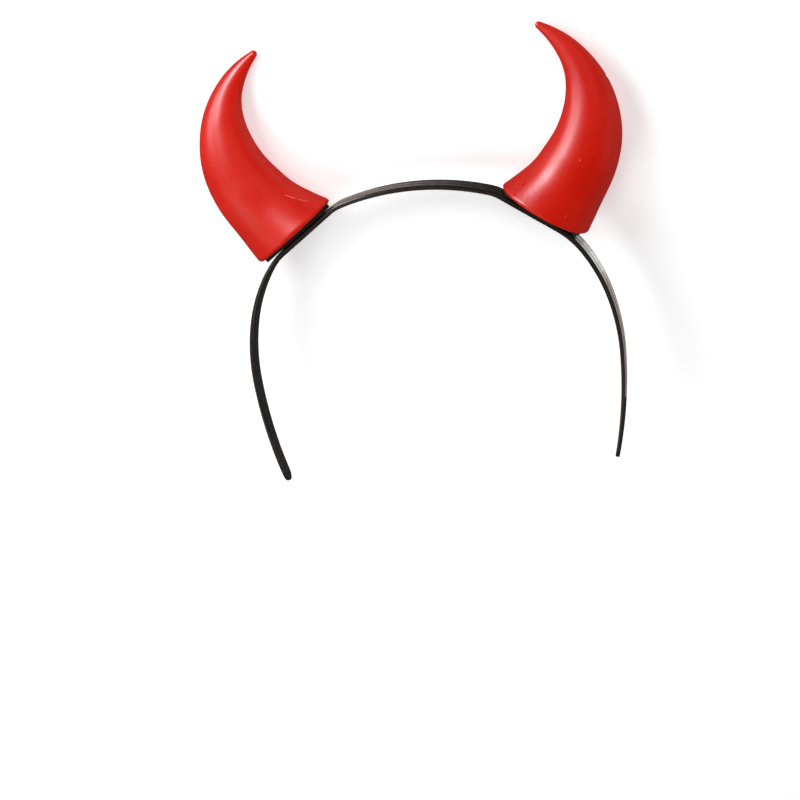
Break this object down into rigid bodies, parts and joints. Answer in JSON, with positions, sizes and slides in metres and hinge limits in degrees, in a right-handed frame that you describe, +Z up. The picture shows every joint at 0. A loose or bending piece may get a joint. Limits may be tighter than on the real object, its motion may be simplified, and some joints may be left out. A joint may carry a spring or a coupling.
{
  "type": "devil horns headband",
  "caption": "Black plastic hair band with hollow red plastic horns that curve in towards each other, lying on its back.",
  "frame": {"origin": "on the table the object lies on, under the middle of its box", "axes": "+Z up and away from the table, towards the face that looks forward when worn; +X to the viewer's right seen from the front; +Y from the arms' tips towards the horns' tips"},
  "size_m": [0.1902, 0.1978, 0.0391],
  "materials": {
    "band": "glossy black moulded plastic with faint lengthwise ridges",
    "horn": "satin red moulded plastic with a soft pale sheen",
    "foot": "plain black moulded plastic"
  },
  "bodies": {
    "root": {"headband": "band", "horn_left": "horn", "horn_right": "horn", "horn_foot_left": "foot", "horn_foot_right": "foot"}
  },
  "joints": []
}
